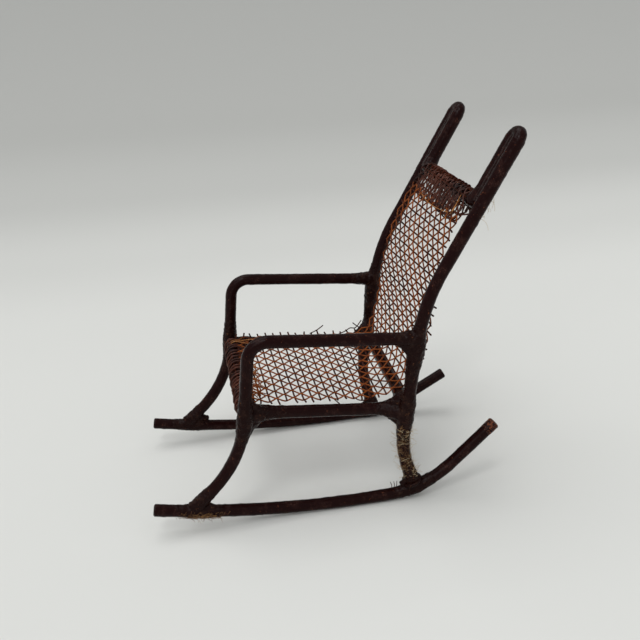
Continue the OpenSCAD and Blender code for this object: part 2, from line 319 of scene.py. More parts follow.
def shaderFrom(name, group, values, bump, bumpDistance=0.00006, **constants):
    # a material whose shader takes colour, roughness and bump from one of the shared effects
    material = bpy.data.materials.new(name)
    material.use_nodes = True
    tree = material.node_tree
    shader = tree.nodes["Principled BSDF"]
    effect = addNode(tree, "Group", node_tree=group)
    for label, value in values.items():
        effect.inputs[label].default_value = value
    tree.links.new(effect.outputs["Color"], shader.inputs["Base Color"])
    tree.links.new(effect.outputs["Roughness"], shader.inputs["Roughness"])
    bumpNode = addNode(tree, "Bump", [("Height", effect.outputs["Height"])],
                       in_Strength=bump, in_Distance=bumpDistance)
    tree.links.new(bumpNode.outputs["Normal"], shader.inputs["Normal"])
    for label, value in constants.items():
        shader.inputs[label.replace("_", " ")].default_value = value
    return material


rodPaint = shaderFrom("rodPaint", brushedPaint, {
    "Paint": (0.0095, 0.0012, 0.0010, 1), "Dry Paint": (0.050, 0.020, 0.015, 1),
    "Rust": (0.17, 0.050, 0.02, 1), "Rust Amount": 0.48, "Gloss": 0.19, "Scale": 1.0},
    bump=0.5, bumpDistance=0.00012, Specular_IOR_Level=0.085)
solderPaint = shaderFrom("solderPaint", brushedPaint, {
    "Paint": (0.0095, 0.002, 0.0015, 1), "Dry Paint": (0.050, 0.024, 0.016, 1),
    "Rust": (0.16, 0.062, 0.024, 1), "Rust Amount": 0.52, "Gloss": 0.27, "Scale": 1.15},
    bump=0.6, bumpDistance=0.00014, Specular_IOR_Level=0.08)
rustyPaint = shaderFrom("rustyPaint", brushedPaint, {
    "Paint": (0.014, 0.003, 0.002, 1), "Dry Paint": (0.08, 0.024, 0.014, 1),
    "Rust": (0.17, 0.05, 0.022, 1), "Rust Amount": 1.1, "Gloss": 0.4, "Scale": 1.3},
    bump=0.8, bumpDistance=0.00014, Specular_IOR_Level=0.15)
darkWire = shaderFrom("darkWire", wireTarnish, {
    "Metal": (0.055, 0.0115, 0.0042, 1), "Tarnish": (0.009, 0.0021, 0.0014, 1),
    "Bloom": (0.15, 0.045, 0.014, 1), "Dullness": 0.5},
    bump=0.2, Metallic=0.1, Specular_IOR_Level=0.05)
copperWire = shaderFrom("copperWire", wireTarnish, {
    "Metal": (0.25, 0.060, 0.008, 1), "Tarnish": (0.050, 0.010, 0.003, 1),
    "Bloom": (0.46, 0.18, 0.04, 1), "Dullness": 0.5},
    bump=0.2, Metallic=0.1, Specular_IOR_Level=0.15)
lashingWire = shaderFrom("lashingWire", wireTarnish, {
    "Metal": (0.085, 0.020, 0.009, 1), "Tarnish": (0.011, 0.0035, 0.003, 1),
    "Bloom": (0.28, 0.12, 0.065, 1), "Dullness": 0.56},
    bump=0.2, Metallic=0.15, Specular_IOR_Level=0.25)
goldWire = shaderFrom("goldWire", wireTarnish, {
    "Metal": (0.40, 0.16, 0.035, 1), "Tarnish": (0.15, 0.045, 0.012, 1),
    "Bloom": (0.62, 0.36, 0.13, 1), "Dullness": 0.45},
    bump=0.2, Metallic=0.2, Specular_IOR_Level=0.35)
fuzzFibre = shaderFrom("fuzzFibre", wireTarnish, {
    "Metal": (0.31, 0.16, 0.060, 1), "Tarnish": (0.070, 0.026, 0.011, 1),
    "Bloom": (0.64, 0.48, 0.28, 1), "Dullness": 0.55}, bump=0.1, Specular_IOR_Level=0.2)
paleFibre = shaderFrom("paleFibre", wireTarnish, {
    "Metal": (0.58, 0.45, 0.27, 1), "Tarnish": (0.30, 0.19, 0.09, 1),
    "Bloom": (0.80, 0.72, 0.55, 1), "Dullness": 0.4}, bump=0.1, Specular_IOR_Level=0.2)
print("materials made")

# The bent rods
rodShape = {
    "ringStep": 0.4,        # mm between rings of vertices
    "sides": 26,
    "wander": 0.06,         # slow swelling along a rod, mm
    "lump": 0.035,          # small lumps in the paint, mm
    "blob": 0.07,           # height of the few larger drips, mm
    "edge": 0.45,           # rounding at a cut end, mm
    "edgeDepth": 0.24,      # and how far it narrows the rod there, as a share
}
chairShape = {      # in mm and degrees; pairs are left and right, or Y and Z
    "contactY": 6.5, "rockerRadius": 245, "rockerFront": 51.5, "rockerFlat": (1.5, 2.7),
    "tailRadius": 26, "tailAngle": (43, 29), "tailLength": (15, 14.2), "bendGap": 0.3,
    "legFoot": (-36.2, 5.2), "legKnee": (-22.5, 17.5), "armCorner": (-19.1, 48.5),
    "armEnd": (21.1, 44.6), "legSweep": 31, "armBend": 4.7,
    "postFoot": ((20.5, 3.2), (20.5, 2.3)), "postKnee": (16.7, 15), "postBend": (22.4, 53.4),
    "postKneeBend": 30, "postUpperBend": 45, "lean": 30, "peakZ": 90.5,
    "foldX": 17.5, "foldRadius": 1.6, "topRailZ": 75.5, "elbowRadius": 1.9,
    "railX": 17.95, "frontRailY": -20.5, "frontRailZ": 28.7, "railEndY": 19.5,
    "railSlope": -0.107, "cornerRadius": 2.6, "barY": 17.8, "barZ": 27.65, "barGap": 0.12,
    "seatTilt": 2.2,        # the right side of the seat is higher than the left
}
rockerLow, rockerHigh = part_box("left_rocker")
sideX = (rockerLow[0] + rockerHigh[0]) / 2 / mm
rodRadius = (rockerHigh[0] - rockerLow[0]) / 2 / mm


def tiltAt(x):
    # how much higher the seat is at x than at its left rail
    return chairShape["seatTilt"] * (1 - x / chairShape["railX"]) / 2


def rockerPath(side):
    c = chairShape
    which = 0 if side > 0 else 1
    radius, tail = c["rockerRadius"], math.radians(c["tailAngle"][which])
    middle = np.array([c["contactY"], radius + rodRadius])
    flat = math.radians(c["rockerFlat"][which])
    line = [middle + radius * np.array([math.sin(a), -math.cos(a)])
            for a in np.linspace(-math.asin(c["rockerFront"] / radius), flat, 120)]
    heading = np.array([math.cos(flat), math.sin(flat)])
    bendMiddle = (line[-1] + heading * c["bendGap"]
                  + c["tailRadius"] * np.array([-heading[1], heading[0]]))
    line += [bendMiddle + c["tailRadius"] * np.array([math.sin(a), -math.cos(a)])
             for a in np.linspace(flat, tail, 30)]
    line.append(line[-1] + c["tailLength"][which] * np.array([math.cos(tail), math.sin(tail)]))
    return resample([(side * sideX, y, z) for y, z in line], rodShape["ringStep"])


def legPath(side):
    c = chairShape
    corners = [(side * sideX, *c[k]) for k in ("legFoot", "legKnee", "armCorner", "armEnd")]
    return roundedPath(corners, [c["legSweep"], c["armBend"]], rodShape["ringStep"])


topRailY = (chairShape["postBend"][0] + (chairShape["topRailZ"] - chairShape["postBend"][1])
            * math.tan(math.radians(chairShape["lean"])))
peakY = (chairShape["postBend"][0] + (chairShape["peakZ"] - chairShape["postBend"][1])
         * math.tan(math.radians(chairShape["lean"])))


def backPath():
    c = chairShape
    half = [(sideX, *c["postFoot"][0]), (sideX, *c["postKnee"]), (sideX, *c["postBend"]),
            (sideX, peakY, c["peakZ"]), (c["foldX"], peakY, c["peakZ"]),
            (c["foldX"], topRailY, c["topRailZ"])]
    radii = [c["postKneeBend"], c["postUpperBend"], c["foldRadius"], c["foldRadius"],
             c["elbowRadius"]]
    other = [(-x, y, z) for x, y, z in reversed(half[1:])] + [(-sideX, *c["postFoot"][1])]
    return roundedPath(half + other, radii + radii[::-1], rodShape["ringStep"])


def railZ(y, x):
    c = chairShape
    return c["frontRailZ"] + (y - c["frontRailY"]) * c["railSlope"] + tiltAt(x)


def seatPath():
    c = chairShape
    x, back, front = c["railX"], c["railEndY"], c["frontRailY"]
    corners = [(x, back, railZ(back, x)), (x, front, railZ(front, x)),
               (-x, front, railZ(front, -x)), (-x, back, railZ(back, -x))]
    return roundedPath(corners, [c["cornerRadius"]] * 2, rodShape["ringStep"])


def barPath():
    half = sideX - rodRadius - chairShape["barGap"]
    ends = [(x, chairShape["barY"], chairShape["barZ"] + tiltAt(x)) for x in (-half, half)]
    return resample(ends, rodShape["ringStep"])


rodPaths = {
    "leftRocker": rockerPath(1), "rightRocker": rockerPath(-1),
    "leftLegAndArm": legPath(1), "rightLegAndArm": legPath(-1),
    "backFrame": backPath(), "seatFrame": seatPath(), "rearBar": barPath(),
}
rodNodes = {
    "leftRocker": "left_rocker", "rightRocker": "right_rocker",
    "leftLegAndArm": "left_leg_and_arm", "rightLegAndArm": "right_leg_and_arm",
    "backFrame": "back_frame", "seatFrame": "seat_frame", "rearBar": "rear_seat_bar",
}


def lumpyRod(name, path, seed):
    run = lengthsAlong(path)
    edge = rodShape["edge"]
    near = np.array([0.0, 0.06, 0.16, 0.3]) * edge / 0.45
    rings = max(3, int((run[-1] - 2 * edge) / rodShape["ringStep"]))
    inner = np.linspace(edge, run[-1] - edge, rings)
    at = np.concatenate([near, inner, run[-1] - near[::-1]])
    points = resample(path, at=at)
    toEnd = np.minimum(at, run[-1] - at)
    shrink = 1 - rodShape["edgeDepth"] * np.clip(1 - toEnd / edge, 0, 1) ** 2.2
    swell = lumpiness(points, seed, 9.0) * rodShape["wander"]
    verts, faces = sweepTube(points, (rodRadius + swell) * shrink, rodShape["sides"])
    centres = np.repeat(points, rodShape["sides"], axis=0)
    outward = verts - centres
    outward /= np.linalg.norm(outward, axis=1)[:, None]
    small = lumpiness(verts, seed + 3, 1.3, 3) * rodShape["lump"]
    drips = np.clip(lumpiness(verts, seed + 7, 2.2) - 0.32, 0, 0.5) * 2 * rodShape["blob"]
    verts = verts + outward * (small + drips)[:, None]
    verts[:, 2] = np.maximum(verts[:, 2], 0)
    return makeMesh(name, [(verts, faces)])


for seed, (name, path) in enumerate(rodPaths.items()):
    rod = lumpyRod(name, path, seed + 1)
    finish(rod, rodPaint, [rodNodes[name]])
print("rods made")

# Solder at the joints
solderShape = {
    "voxel": 0.15,          # mm
    "smoothing": 14,        # passes
    "lump": 0.13,           # mm
    "buried": 1.4,          # radius at which a run of solder sinks into its rod, mm
}


def spotAlong(path, near, distance):
    run = lengthsAlong(path)
    start = run[np.argmin(np.linalg.norm(path - np.asarray(near), axis=1))]
    return resample(path, at=np.array([np.clip(start + distance, 0, run[-1])]))[0]


def stroke(path, near, profile, shift=(0, 0, 0)):
    # a run of solder along a rod: distances from a place, each with its radius
    spots = [spotAlong(path, near, d) + np.array(shift) for d, _ in profile]
    dense = splinePath([(*p, r) for p, (_, r) in zip(spots, profile)], 6)
    return sweepTube(dense[:, :3], dense[:, 3], 20)


def web(points):
    # solder drawn between two rods: points that each have a radius
    dense = splinePath(points, 6)
    return sweepTube(dense[:, :3], dense[:, 3], 18)


def applied(piece):
    view = bpy.context.evaluated_depsgraph_get()
    mesh = bpy.data.meshes.new_from_object(piece.evaluated_get(view))
    old = piece.data
    piece.modifiers.clear()
    piece.data = mesh
    mesh.name = piece.name
    bpy.data.meshes.remove(old)


def meltedLump(name, parts, seed, lump=None, smoothing=None):
    piece = makeMesh(name, parts)
    remesh = piece.modifiers.new("melt", "REMESH")
    remesh.mode, remesh.voxel_size = "VOXEL", solderShape["voxel"] * mm
    smooth = piece.modifiers.new("flow", "SMOOTH")
    smooth.factor, smooth.iterations = 0.5, smoothing or solderShape["smoothing"]
    applied(piece)
    mesh = piece.data
    count = len(mesh.vertices)
    places, normals = np.empty(count * 3), np.empty(count * 3)
    mesh.vertices.foreach_get("co", places)
    mesh.vertices.foreach_get("normal", normals)
    places, normals = places.reshape(-1, 3) / mm, normals.reshape(-1, 3)
    height = (lump or solderShape["lump"]) * lumpiness(places, seed, 1.1, 3)
    places = (places + normals * height[:, None]) * mm
    mesh.vertices.foreach_set("co", places.ravel())
    mesh.shade_smooth()
    mesh.update()
    return piece


def solderJoints(side):
    # the paths of the back and seat frame run from left to right, so distances along them
    # change sign with the side
    c = chairShape
    x = side * sideX
    railX = side * c["railX"]
    rocker = rodPaths["leftRocker" if side > 0 else "rightRocker"]
    leg = rodPaths["leftLegAndArm" if side > 0 else "rightLegAndArm"]
    back, seat, bar = rodPaths["backFrame"], rodPaths["seatFrame"], rodPaths["rearBar"]
    low = solderShape["buried"]
    tilt = tiltAt(railX)
    armEnd = (x, *c["armEnd"])
    railEnd = (railX, c["barY"], railZ(c["barY"], railX))
    postAtRail = (x, 18.0, 25 + tilt)
    corner = (railX, c["frontRailY"], railZ(c["frontRailY"], railX))
    legAtRail = (x, -21.2, 28.9 + tilt)
    foot = (x, *c["legFoot"])
    heel = (x, *c["postFoot"][0 if side > 0 else 1])

    def sided(path, near, profile, shift=(0, 0, 0)):
        return stroke(path, near, [(d * side, r) for d, r in profile], shift)

    def inward(*points, lift=tilt):
        # each point is its distance in from the post, Y, Z and radius
        return web([(x - side * a, y, z + lift, r) for a, y, z, r in points])

    joints = {
        "arm": [
            sided(back, armEnd, [(-13, low), (-9.5, 1.62), (-6, 1.95), (-2.5, 2.2), (0, 1.95),
                                 (2, 1.7), (4.5, low)], (0, -0.18, 0)),
            stroke(leg, armEnd, [(-7.5, low), (-5, 1.6), (-2.6, 1.85), (-0.6, 2.0)]),
        ],
        "post": [
            sided(back, postAtRail, [(-9, low), (-6, 1.75), (-3, 2.0), (0, 2.05), (3, 1.95),
                                     (6.5, low)]),
            sided(seat, railEnd, [(8.5, low), (5.5, 1.65), (2.5, 1.95), (0, 2.05), (-1.5, 1.9)]),
            sided(bar, (x, c["barY"], c["barZ"] + tilt), [(-7.5, low), (-5, 1.55), (-2.5, 1.75),
                                                          (-0.5, 1.9)]),
            inward((3.0, 11.0, 25.5, 1.3), (2.4, 13.6, 25.1, 1.75), (1.4, 15.6, 24.9, 2.0),
                   (0.4, 17.3, 24.6, 1.9)),
            inward((2.0, 14.3, 23.4, 0.75), (1.4, 15.9, 22.5, 1.0), (0.7, 17.0, 21.0, 0.9),
                   (0, 17.5, 19.4, 0.7)),
            inward((3.0, 14.0, 26.3, 1.0), (2.2, 15.8, 26.8, 1.4), (1.4, 17.2, 27.3, 1.35)),
            inward((2.7, 15.3, 27.5, 0.5), (2.0, 16.6, 28.3, 1.0), (1.4, 18.0, 28.9, 1.3),
                   (0.6, 19.3, 30.0, 0.9)),
        ],
        "leg": [
            stroke(leg, legAtRail, [(-8, low), (-5, 1.65), (-2, 1.95), (1.5, 1.9), (5, 1.6),
                                    (8, low)]),
            sided(seat, corner, [(-10.5, low), (-7, 1.62), (-3.5, 1.9), (0, 2.0), (3, 1.8),
                                 (5.5, low)]),
            inward((0.3, -21.2, 23.6, 0.7), (1.2, -19.9, 25.8, 1.0), (2.4, -17.4, 27.0, 0.8)),
        ],
        "frontFoot": [
            stroke(leg, foot, [(0, 1.5), (2.5, 1.75), (5.5, 1.7), (9, low)]),
            stroke(rocker, foot, [(-4.5, low), (-1.5, 1.6), (2, 1.75), (5.5, 1.65), (10, low)]),
        ],
        "rearFoot": [
            sided(back, heel, [(0, 1.6), (2.2, 1.95), (4.5, 1.75), (8.5, low)]),
            stroke(rocker, heel, [(-6.5, low), (-3.5, 1.65), (0, 1.9), (3.5, 1.7), (7, low)]),
            inward((0, 16.8, 4.0, 0.8), (0, 18.4, 5.2, 1.0), (0, 18.6, 7.6, 0.7), lift=0),
        ],
    }
    if side > 0:        # the left side has more solder under the arm and at the rail
        joints["arm"].append(inward((0, 15.8, 44.2, 0.75), (0, 17.8, 42.9, 1.15),
                                    (0, 19.3, 40.4, 1.1), (0, 19.6, 37.6, 0.8)))
        joints["leg"] += [
            inward((0.6, -19.9, 33.0, 0.7), (1.1, -18.9, 31.3, 1.0), (1.6, -17.4, 30.0, 1.0),
                   (2.2, -15.4, 29.1, 0.8)),
            inward((0.7, -20.4, 29.2, 1.4), (1.3, -18.6, 28.5, 1.55), (1.9, -16.6, 28.1, 1.4)),
            inward((0.5, -20.9, 25.6, 0.75), (1.0, -19.3, 26.9, 0.95), (1.6, -17.6, 27.3, 0.85)),
        ]
        toe = [(-34.2, 6.8, 1.1), (-32.3, 6.3, 0.95), (-30.4, 5.7, 0.5)]
    else:
        toe = [(-33.6, 7.0, 1.15), (-30.9, 6.9, 1.0), (-29.2, 6.5, 0.7)]
    joints["frontFoot"].append(web([(x, -36.5, 6.8, 1.0)] + [(x, *spot) for spot in toe]))
    return joints


solderNodes = {"arm": "arm_solder", "post": "post_solder", "leg": "leg_solder",
               "frontFoot": "front_foot_solder", "rearFoot": "rear_foot_solder"}
for side, word in ((1, "left"), (-1, "right")):
    for seed, (joint, parts) in enumerate(solderJoints(side).items()):
        lump = meltedLump(word + joint[0].upper() + joint[1:] + "Solder", parts, seed + 20 + side)
        finish(lump, solderPaint, [word + "_" + solderNodes[joint]])
print("solder made")

# The two folded tops of the back frame are filled with solder
foldFill = {
    "outer": (1.6, 19.5),       # radius and how far down from the peak it starts, mm
    "middle": (1.4, 17.3),
    "inner": (1.6, 15.6),
    "arch": 1.5, "rise": 1.25,  # the rounded top, mm
    "lump": 0.05, "smoothing": 22,
}
leanDir = np.array([0, math.sin(math.radians(chairShape["lean"])),
                    math.cos(math.radians(chairShape["lean"]))])
for side, word in ((1, "left"), (-1, "right")):
    peak = np.array([0, peakY, chairShape["peakZ"]])
    between = (sideX + chairShape["foldX"]) / 2
    parts = []
    for x, key in ((sideX, "outer"), (between, "middle"), (chairShape["foldX"], "inner")):
        radius, start = foldFill[key]
        line = [peak + np.array([side * x, 0, 0]) - leanDir * d
                for d in np.linspace(start, 1.0, 40)]
        ends = np.minimum(1, np.linspace(0, 8, 40) + 0.86)
        parts.append(sweepTube(line, radius * ends, 22))
    arch = [peak + np.array([side * (between + 1.6 * math.cos(a)), 0, 0])
            + leanDir * (foldFill["rise"] * math.sin(a) - 1.0) for a in np.linspace(0, math.pi, 24)]
    parts.append(sweepTube(arch, foldFill["arch"], 22))
    elbow = np.array([side * chairShape["foldX"], topRailY, chairShape["topRailZ"]])
    parts.append(stroke(rodPaths["backFrame"], elbow,
                        [(-4.5, 1.4), (-2.2, 1.75), (0, 1.95), (2.2, 1.75), (4.5, 1.4)]))
    lump = meltedLump(word + "FoldedTop", parts, 40 + side, foldFill["lump"],
                      foldFill["smoothing"])
    finish(lump, rodPaint)
print("folded tops made")

# The woven wire of seat and back
weaveShape = {
    "longWires": 21,
    "crossPitch": 2.1,      # mm
    "wrap": 2.0,            # from the middle of a rail to the middle of the weave, mm
    "halfWidth": 16.6,      # at the seat, mm
    "topHalfWidth": 15.25,
    "longRadius": 0.19,
    "crossRadius": 0.22,
    "overUnder": 0.2,       # how far a long wire rises over a cross wire, mm
    "pairGap": 0.46,        # between two long wires where they meet, mm
    "frontTurn": 8.2,       # length of the stretch bound to the front rail, mm
    "topTurn": 17.5,        # and of the stretch bound to the top rail
    "jitter": 0.18,         # how far a long wire strays to the side, mm
    "flapLength": 6.5,      # behind the top rail, mm
    "lean": 64,             # of the back above the horizontal, degrees
    "firstCross": 0.6,      # where the first cross wire lies, mm along the weave
    "railReach": 9,         # cross wires this near to either end are trimmed close, mm
    "narrowing": (12, 9),   # starts so far below the flap, over this length, mm
    "trimmed": (0.15, 0.4), "leftEnds": (0.5, 1.7),     # how far cross wires stick out, mm
    "rightEnds": (0.5, 1.5), "rightSeatEnds": (1.0, 1.5),
}
railMiddle = {1: (-20.5, 28.7), -1: (-20.5, 30.9)}
seatProfiles = {    # left and right edges of the weave: Y and Z between the two rails
    1: [(-16.6, 30.5), (-11, 30.15), (-5, 29.6), (2.5, 28.8), (8, 28.3), (13, 28.3), (16.6, 29.35),
        (18.9, 30.3), (20.6, 32.2), (22.4, 35.4), (24.1, 40.0), (25.4, 46.5), (26.2, 53),
        (27.0, 59.5), (28.4, 65), (30.3, 69.6), (31.9, 73.0)],
    -1: [(-16.6, 32.7), (-11, 32.3), (-5, 31.8), (2.5, 31.1), (8, 30.6), (13, 30.5), (16.6, 31.6),
         (18.1, 32.6), (18.9, 34.4), (19.9, 37.2), (21.0, 42.2), (21.9, 48), (22.9, 53.5),
         (24.6, 59.5), (26.9, 65), (29.6, 69.9), (31.7, 73.4)],
}


def edgeLine(side):
    # one edge of the weave, from under the front rail over the seat and back to the flap
    wrap, (cy, cz) = weaveShape["wrap"], railMiddle[side]
    line = [(cy + wrap * math.cos(a), cz + wrap * math.sin(a))
            for a in np.radians([-50, -85, -120, -155, -190, -225, -255])]
    line += seatProfiles[side]
    lean = math.radians(weaveShape["lean"])
    for a in np.linspace(lean + math.pi / 2, lean - math.pi / 2, 6):
        line.append((topRailY + wrap * math.cos(a), chairShape["topRailZ"] + wrap * math.sin(a)))
    over = line[-1]
    for d in np.linspace(0.33, 1, 3) * weaveShape["flapLength"]:
        line.append((over[0] - d * math.cos(lean), over[1] - d * math.sin(lean)))
    return splinePath([(0, y, z) for y, z in line], 12)


leftEdge, rightEdge = edgeLine(1), edgeLine(-1)
middleRun = lengthsAlong((leftEdge + rightEdge) / 2)
weaveLength = middleRun[-1]
crossCount = int((weaveLength - 1.0) / weaveShape["crossPitch"])
barRun = middleRun[np.argmin(np.abs((leftEdge + rightEdge)[:, 1] / 2 - chairShape["barY"]))]


def weavePoints(x, s, rise):
    # places on the weave, x across and s along it, raised off its middle surface
    x, s, rise = np.broadcast_arrays(np.asarray(x, float), np.asarray(s, float),
                                     np.asarray(rise, float))
    share = (x / chairShape["railX"] + 1) / 2
    edges = []
    for line in (leftEdge, rightEdge):
        (y, z), ahead, behind = [[np.interp(s + d, middleRun, line[:, k]) for k in (1, 2)]
                                 for d in (0, 0.3, -0.3)]
        dy, dz = ahead[0] - behind[0], ahead[1] - behind[1]
        size = np.hypot(dy, dz) + 1e-9
        edges.append((y, z, -dz / size, dy / size))
    (ly, lz, lny, lnz), (ry, rz, rny, rnz) = edges
    y = share * (ly + rise * lny) + (1 - share) * (ry + rise * rny)
    z = share * (lz + rise * lnz) + (1 - share) * (rz + rise * rnz)
    return np.stack([x, y, z], axis=1)


def halfWidthAt(s):
    # the weave narrows towards the top rail
    w = weaveShape
    below, length = w["narrowing"]
    t = np.clip((s - (weaveLength - w["flapLength"] - below)) / length, 0, 1)
    return w["halfWidth"] + (w["topHalfWidth"] - w["halfWidth"]) * t * t * (3 - 2 * t)


def zigzag(u):
    # between 1 at even u and -1 at odd u, with rounded corners
    slope = 2 * np.abs((u % 2) - 1) - 1
    return 0.8 * slope + 0.2 * np.sin(slope * math.pi / 2)


def crossStation(k):
    return weaveShape["firstCross"] + k * weaveShape["crossPitch"]


def longWire(i, rng):
    # one wire in three stretches: bound to the front rail, woven, and bound to the top rail
    w = weaveShape
    perCross = 8
    ending = rng.uniform(-1.6, 0.9)
    u = np.arange(-0.2, crossCount - 0.6 + ending / w["crossPitch"], 1 / perCross)
    s = crossStation(u)
    half = halfWidthAt(s)
    pitch = 2 * half / (w["longWires"] - 1)
    lane = -half + pitch * i
    swing = (pitch - w["pairGap"]) / 2
    toward = zigzag(u) * (1 if i % 2 == 0 else -1)
    atEdge = ((i == 0) & (toward < 0)) | ((i == w["longWires"] - 1) & (toward > 0))
    outer = np.where(atEdge, 0.45, 1)       # the edge wires swing out less
    wobble = np.array([noise.noise(Vector((k * 0.23, i * 3.1, 4.2))) for k in u]) * w["jitter"]
    calm = 0.45 + 0.55 * np.clip((s - w["frontTurn"] + 1) / 2, 0, 1)
    x = lane + swing * toward * outer * calm + wobble
    rise = -w["overUnder"] * toward * calm      # over where it leans right, under where left
    points = weavePoints(x, s, rise)
    first = int(np.argmax(s > w["frontTurn"]))
    last = int(np.argmax(s > weaveLength - w["topTurn"]))
    return [sweepTube(part, w["longRadius"], 7)
            for part in (points[:first + 1], points[first:last + 1], points[last:])]


def crossWire(k, rng):
    w = weaveShape
    s = crossStation(k)
    half = float(halfWidthAt(s))
    beside = s > weaveLength - w["flapLength"] - w["railReach"] or s < w["railReach"]
    onSeat = w["railReach"] <= s < barRun - 3
    leftEnd = half + rng.uniform(*w["trimmed" if beside else "leftEnds"])
    rightEnd = half + rng.uniform(*w["trimmed" if beside else
                                     "rightSeatEnds" if onSeat else "rightEnds"])
    x = np.linspace(-rightEnd, leftEnd, 75)
    pitch = 2 * half / (w["longWires"] - 1)
    lane = (x + half) / pitch
    wave = 0.035 * np.sin(math.pi * lane + math.pi * k)
    skew = 0.5 * (x / w["halfWidth"]) * np.clip(1 - s / 45, 0, 1)
    bend = np.array([noise.noise(Vector((v * 0.12, k * 2.7, 1.3))) for v in x]) * 0.14
    points = weavePoints(x, s + skew + bend, wave)
    for sign in (-1, 1):        # cut ends are bent a little
        past = np.clip(sign * x - half - 0.1, 0, 3)
        upward = rng.uniform(0.3, 0.75) if sign < 0 and onSeat else rng.uniform(-0.3, 0.35)
        points[:, 2] += past * upward
        points[:, 1] += past * rng.uniform(-0.3, 0.3)
    return sweepTube(points, w["crossRadius"], 8)


rng = random.Random(11)
longTubes, turnedTubes = {0: [], 1: []}, []
for i in range(weaveShape["longWires"]):
    front, middle, top = longWire(i, rng)
    longTubes[i % 2].append(middle)
    turnedTubes += [front, top]
finish(makeMesh("upperLongWires", longTubes[0]), copperWire, ["upper_long_wires"])
finish(makeMesh("lowerLongWires", longTubes[1]), copperWire, ["lower_long_wires"])
finish(makeMesh("turnedLongWires", turnedTubes), lashingWire)
seatCross = [crossWire(k, rng) for k in range(crossCount) if crossStation(k) < barRun]
backCross = [crossWire(k, rng) for k in range(crossCount) if crossStation(k) >= barRun]
finish(makeMesh("seatCrossWires", seatCross), darkWire, ["seat_cross_wires"])
finish(makeMesh("backCrossWires", backCross), darkWire, ["back_cross_wires"])
print("weave made", crossCount, "cross wires")

# Wire that binds the weave to its rails, and stray ends
bindingShape = {        # in mm
    "frontTurns": 20, "frontHalf": 15.9, "frontRadius": 2.4, "frontWire": 0.25,
    "topLoops": 14, "topHalf": 13.0, "topWire": 0.2, "topDrop": 5.6,
    "beadRadius": 0.40, "beadWire": 0.21, "loopReach": 2.02,
}


def wobbly(points, seed, size, scale=2.0):
    points = np.asarray(points, float)
    shake = np.stack([lumpiness(points, seed + k, scale) for k in (0.0, 3.3, 6.6)], axis=1)
    return points + shake * size


def wire(points, radius, perSpan=8, sides=7):
    return sweepTube(splinePath(points, perSpan), radius, sides)


def frontBinding():
    # a dark wire coiled along the front rail, over the turned-down long wires
    b = bindingShape
    turns = np.linspace(0, b["frontTurns"], b["frontTurns"] * 14)
    x = b["frontHalf"] * (1 - 2 * turns / b["frontTurns"])
    angle = -2 * math.pi * turns + 1.1
    radius = b["frontRadius"] + 0.12 * np.sin(turns * 2.7)
    rail = np.array([railMiddle[1][1] + tiltAt(v) for v in x])
    points = np.stack([x + 0.16 * np.sin(turns * 5.1), railMiddle[1][0] + radius * np.cos(angle),
                       rail + radius * np.sin(angle)], axis=1)
    loop = [(16.2, -22.3, 30.3), (16.6, -22.9, 29.6), (16.7, -22.5, 28.8), (16.4, -21.9, 28.9),
            (16.3, -22.2, 29.7)]
    return [sweepTube(wobbly(points, 5, 0.12), b["frontWire"], 7), wire(loop, 0.17)]


def topPlace(x, angle, radius, drop=0.0):
    # round the top rail; angle 0 points up along the back, drop runs down along it
    lean = math.radians(weaveShape["lean"])
    along = np.array([math.cos(lean), math.sin(lean)])
    front = np.array([-math.sin(lean), math.cos(lean)])
    y, z = (np.array([topRailY, chairShape["topRailZ"]]) + radius * math.cos(angle) * along
            + radius * math.sin(angle) * front - drop * along)
    return (x, y, z)


def topBinding(rng):
    # loops over the top rail that hold the folded edge, each with a small bead of turns on top
    b = bindingShape
    loops, beads, reach = [], [], b["loopReach"]
    pitch = 2 * b["topHalf"] / b["topLoops"]
    for k in range(b["topLoops"]):      # the last two loops are short
        x = -b["topHalf"] + pitch * (k + 0.5)
        drop = (b["topDrop"] if k < b["topLoops"] - 2 else 3.0) + rng.uniform(-0.7, 0.7)
        for shift, angle, radius, down in (
                (-0.35, 1.62, 2.15, drop), (-0.2, 1.6, 2.3, 2.6), (0, 0.9, reach, 0),
                (0.05, 0, reach, 0), (0.1, -0.9, reach, 0), (0.25, -1.6, 2.2, 2.6),
                (0.4, -1.62, 2.1, drop), (0.5, 3.1, 0.2, drop + 1.0)):
            loops.append(topPlace(x + shift * pitch, angle, radius, down))
        middle = np.array(topPlace(x, 0.6 - 0.35 * x / b["topHalf"], reach + 0.12))
        turn = np.linspace(0, 2 * math.pi * 1.4, 18)
        size = b["beadRadius"] * rng.uniform(0.8, 1.2)
        ring = [middle + np.array([0.16 * (t / 4.4 - 1), size * math.cos(t + k),
                                   size * math.sin(t + k)]) for t in turn]
        beads.append(sweepTube(ring, b["beadWire"], 7))
    slanted = [[topPlace(x, 1.6, 2.05, 0.5), topPlace(x + s * 0.9, 1.6, 2.25, 3.1),
                topPlace(x + s * 1.9, 1.6, 2.0, 6.2)]
               for s in (-1, 1) for x in np.linspace(-b["topHalf"] + 1, b["topHalf"] - 1, 13)]
    return ([sweepTube(wobbly(splinePath(loops, 6), 9, 0.22), b["topWire"], 7)]
            + [sweepTube(wobbly(splinePath(s, 8), 12 + k, 0.25), 0.14, 6)
               for k, s in enumerate(slanted)], beads)


def curledWire(start, end, turns, size, rng, radius):
    # a loose wire that curls on its way between two places
    start, end = np.array(start, float), np.array(end, float)
    points = []
    for t in np.linspace(0, 1, int(turns * 9) + 2):
        angle = 2 * math.pi * turns * t + rng.uniform(-0.3, 0.3)
        reach = size * (0.7 + 0.5 * rng.random())
        points.append(start + (end - start) * t + reach * np.array(
            [0.8 * math.cos(angle), math.cos(angle + 0.6), math.sin(angle)]))
    return wire(points, radius, 5)


